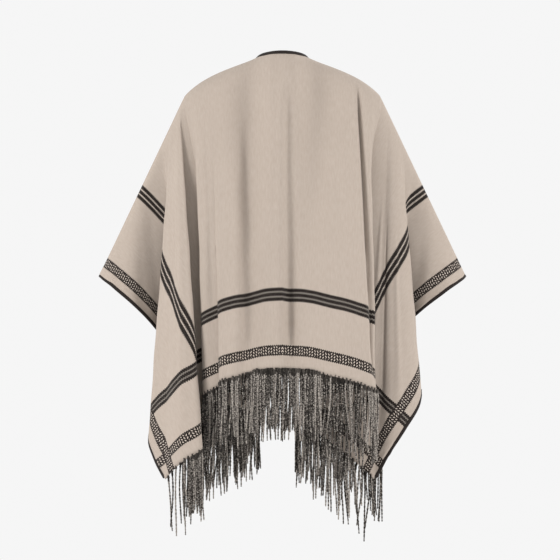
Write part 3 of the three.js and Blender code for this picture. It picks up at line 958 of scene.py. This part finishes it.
# %% The brushed wool cloth
def wool_cloth():
    """Beige brushed wool with bands woven in along the hems and the sides."""
    material, tree, shader = new_material("brushed_wool")
    cut = tree.nodes.new("ShaderNodeUVMap")
    cut.uv_map = "cut"
    places = tree.nodes.new("ShaderNodeSeparateXYZ")
    tree.links.new(cut.outputs[0], places.inputs[0])
    across, down = places.outputs[0], places.outputs[1]
    waver = calc(tree, "MULTIPLY_ADD", noise(tree, cut.outputs[0], 420.0), 0.0012, -0.0006)
    hem_run = calc(tree, "ABSOLUTE", across)
    side_run = calc(tree, "ABSOLUTE", down)
    from_side = calc(tree, "ADD", calc(tree, "SUBTRACT", HALF_WIDTH, hem_run), waver)
    from_hem = calc(tree, "ADD", calc(tree, "SUBTRACT", HALF_LENGTH, side_run), waver)

    cloudy = noise(tree, cut.outputs[0], 9.0, 4.0)
    fibres = noise(tree, cut.outputs[0], 620.0, 3.0)
    drawn = tree.nodes.new("ShaderNodeCombineXYZ")
    plug(tree, drawn.inputs[0], across)
    plug(tree, drawn.inputs[1], calc(tree, "MULTIPLY", down, 0.2))
    streaks = noise(tree, drawn.outputs[0], 300.0)
    tone = calc(tree, "MULTIPLY_ADD", fibres, 0.6, calc(tree, "MULTIPLY", cloudy, 0.35))
    tone = calc(tree, "MULTIPLY_ADD", calc(tree, "SUBTRACT", streaks, 0.5), 1.1, tone)
    colour = blend_colour(tree, tone, BEIGE_DEEP, BEIGE)

    hem_triple = triple(tree, from_hem, hem_run, HEM_TRIPLE_AT, HEM_BAR_WIDTH)
    ground_width = 3 * BAR_PITCH - 0.004
    hem_ground = within(tree, from_hem, HEM_TRIPLE_AT, ground_width)
    side_triple = triple(tree, from_side, side_run, SIDE_TRIPLE_AT, SIDE_BAR_WIDTH)
    side_ground = within(tree, from_side, SIDE_TRIPLE_AT, ground_width)
    speck = calc(tree, "MULTIPLY", calc(tree, "GREATER_THAN", fibres, 0.60), 0.35)
    ink = blend_colour(tree, speck, INK, ASH)
    colour = blend_colour(tree, hem_ground, colour, ASH)
    colour = blend_colour(tree, side_ground, colour, PALE_THREAD)
    colour = blend_colour(tree, hem_triple, colour, ink)
    colour = blend_colour(tree, side_triple, colour, ink)
    for distance, along, at, width in (
        (from_hem, hem_run, HEM_BAND_AT, HEM_BAND_WIDTH),
        (from_side, side_run, SIDE_BAND_AT, SIDE_BAND_WIDTH),
    ):
        whole, dark = band(tree, distance, along, at, width)
        filling = blend_colour(tree, dark, PALE_THREAD, ink)
        colour = blend_colour(tree, whole, colour, filling)
    plug(tree, shader.inputs["Base Color"], colour)

    weft = threads(tree, cut.outputs[0], "X", 210.0)
    warp = threads(tree, cut.outputs[0], "Y", 190.0)
    weave = calc(tree, "MULTIPLY", weft, warp)
    relief(tree, shader, calc(tree, "MULTIPLY_ADD", fibres, 1.4, weave), 0.55)
    shader.inputs["Roughness"].default_value = 1.0
    shader.inputs["Specular IOR Level"].default_value = 0.08
    shader.inputs["Sheen Weight"].default_value = 0.10
    shader.inputs["Sheen Roughness"].default_value = 0.5
    shader.inputs["Sheen Tint"].default_value = (1.0, 0.96, 0.92, 1)
    return material


# %% The tape and the yarn
TAPE_DARK = (0.008, 0.006, 0.005, 1)
TAPE_WORN = (0.022, 0.017, 0.015, 1)
YARN_DARK = (0.006, 0.005, 0.004, 1)
YARN_GREY = (0.110, 0.097, 0.087, 1)
YARN_FLECK = (0.30, 0.27, 0.24, 1)
KNOT_GREY = (0.075, 0.066, 0.058, 1)


def ribbed_tape():
    """Matt near-black tape with fine ribs across it."""
    material, tree, shader = new_material("ribbed_tape")
    run = tree.nodes.new("ShaderNodeUVMap")
    run.uv_map = "cut"
    ribs = tree.nodes.new("ShaderNodeTexWave")
    ribs.inputs["Scale"].default_value = 190.0
    tree.links.new(run.outputs[0], ribs.inputs["Vector"])
    fuzz = noise(tree, run.outputs[0], 900.0)
    plug(tree, shader.inputs["Base Color"], blend_colour(tree, fuzz, TAPE_DARK, TAPE_WORN))
    relief(tree, shader, ribs.outputs["Fac"], 0.6)
    shader.inputs["Roughness"].default_value = 0.85
    shader.inputs["Specular IOR Level"].default_value = 0.12
    shader.inputs["Sheen Weight"].default_value = 0.05
    return material


def attribute(tree, name):
    """A number that each point of the piece carries."""
    node = tree.nodes.new("ShaderNodeAttribute")
    node.attribute_name = name
    return node.outputs["Fac"]


def marled_yarn():
    """Yarn spun from dark and pale fibres, in patches along its length, with dark knots."""
    material, tree, shader = new_material("marled_yarn")
    shade = attribute(tree, "yarn_shade")
    run = attribute(tree, "yarn_run")
    place = tree.nodes.new("ShaderNodeCombineXYZ")
    plug(tree, place.inputs[0], run)
    plug(tree, place.inputs[1], calc(tree, "MULTIPLY", shade, 7.0))
    patches = noise(tree, place.outputs[0], 520.0, 2.0)
    pale = calc(tree, "GREATER_THAN", calc(tree, "MULTIPLY_ADD", shade, 0.16, patches), 0.60)
    knot_end = calc(tree, "MULTIPLY_ADD", shade, -1.3 * KNOT_LENGTH, 1.8 * KNOT_LENGTH)
    beyond_knot = calc(tree, "GREATER_THAN", run, knot_end)
    dark_tone = blend_colour(tree, shade, YARN_DARK, YARN_GREY)
    colour = blend_colour(tree, pale, dark_tone, YARN_FLECK)
    knot_tone = blend_colour(tree, shade, YARN_DARK, KNOT_GREY)
    colour = blend_colour(tree, beyond_knot, knot_tone, colour)
    plug(tree, shader.inputs["Base Color"], colour)
    shader.inputs["Roughness"].default_value = 1.0
    shader.inputs["Specular IOR Level"].default_value = 0.06
    shader.inputs["Sheen Weight"].default_value = 0.05
    return material


for finish, pieces in (
    (wool_cloth(), (back, *front_cloths.values())),
    (ribbed_tape(), (neck_tape, *side_tapes.values())),
    (marled_yarn(), (back_fringe, *front_fringes.values())),
):
    for piece in pieces:
        piece.data.materials.append(finish)
    print(finish.name, "is on", len(pieces), "pieces")

# %% [markdown]

# %% [markdown]
# ## Studio
#
# A plain pale world gives light from all round. Two soft lights at shoulder height, one each
# side behind the wearer, graze the back and shape its folds, and a third lights the front. A pale
# floor lies well below the fringe.

# %% Floor and lights
FLOOR_HEIGHT = -1.45
BACKGROUND = (0.92, 0.92, 0.92, 1)

floor_mesh = bpy.data.meshes.new("floor")
bm = bmesh.new()
bmesh.ops.create_circle(bm, cap_ends=True, segments=96, radius=2.2)
bmesh.ops.translate(bm, verts=bm.verts, vec=(0, 0, FLOOR_HEIGHT))
bm.to_mesh(floor_mesh)
bm.free()
floor = bpy.data.objects.new("floor", floor_mesh)
bpy.context.scene.collection.objects.link(floor)
floor_finish, floor_tree, floor_shader = new_material("pale_floor")
floor_shader.inputs["Base Color"].default_value = (0.72, 0.72, 0.72, 1)
floor_shader.inputs["Roughness"].default_value = 0.9
floor_mesh.materials.append(floor_finish)

world = bpy.data.worlds.new("pale_studio")
world.use_nodes = True
world.node_tree.nodes["Background"].inputs[0].default_value = BACKGROUND
world.node_tree.nodes["Background"].inputs[1].default_value = 1.0
bpy.context.scene.world = world
bpy.context.scene.view_settings.view_transform = "Standard"


def soft_light(name, place, target, size, watts):
    """A square soft light turned to a point."""
    light = bpy.data.lights.new(name, "AREA")
    light.size = size
    light.energy = watts
    lamp = bpy.data.objects.new(name, light)
    lamp.location = place
    lamp.rotation_euler = (Vector(target) - Vector(place)).to_track_quat("-Z", "Y").to_euler()
    bpy.context.scene.collection.objects.link(lamp)
    return lamp


soft_light("key_light", (2.6, -1.5, 0.3), (0, 0, -0.5), 0.9, 71)
soft_light("fill_light", (-2.6, -1.5, 0.3), (0, 0, -0.5), 0.9, 78)
soft_light("back_light", (1.2, 2.4, 1.4), (0, 0, -0.45), 1.8, 46)

# %% Camera
# The photograph is taken level with the middle of the wrap from straight behind.
VIEW_HEIGHT = -0.484
VIEW_SHIFT = -0.0053
VIEW_DISTANCE = 4.3
FRAME_WIDTH = 1.232
SENSOR = 36.0

lens = bpy.data.cameras.new("view_from_behind")
lens.sensor_width = SENSOR
lens.lens = SENSOR * VIEW_DISTANCE / FRAME_WIDTH
camera = bpy.data.objects.new("view_from_behind", lens)
camera.location = (VIEW_SHIFT, -VIEW_DISTANCE, VIEW_HEIGHT)
camera.rotation_euler = (math.pi / 2, 0, 0)
bpy.context.scene.collection.objects.link(camera)
bpy.context.scene.camera = camera
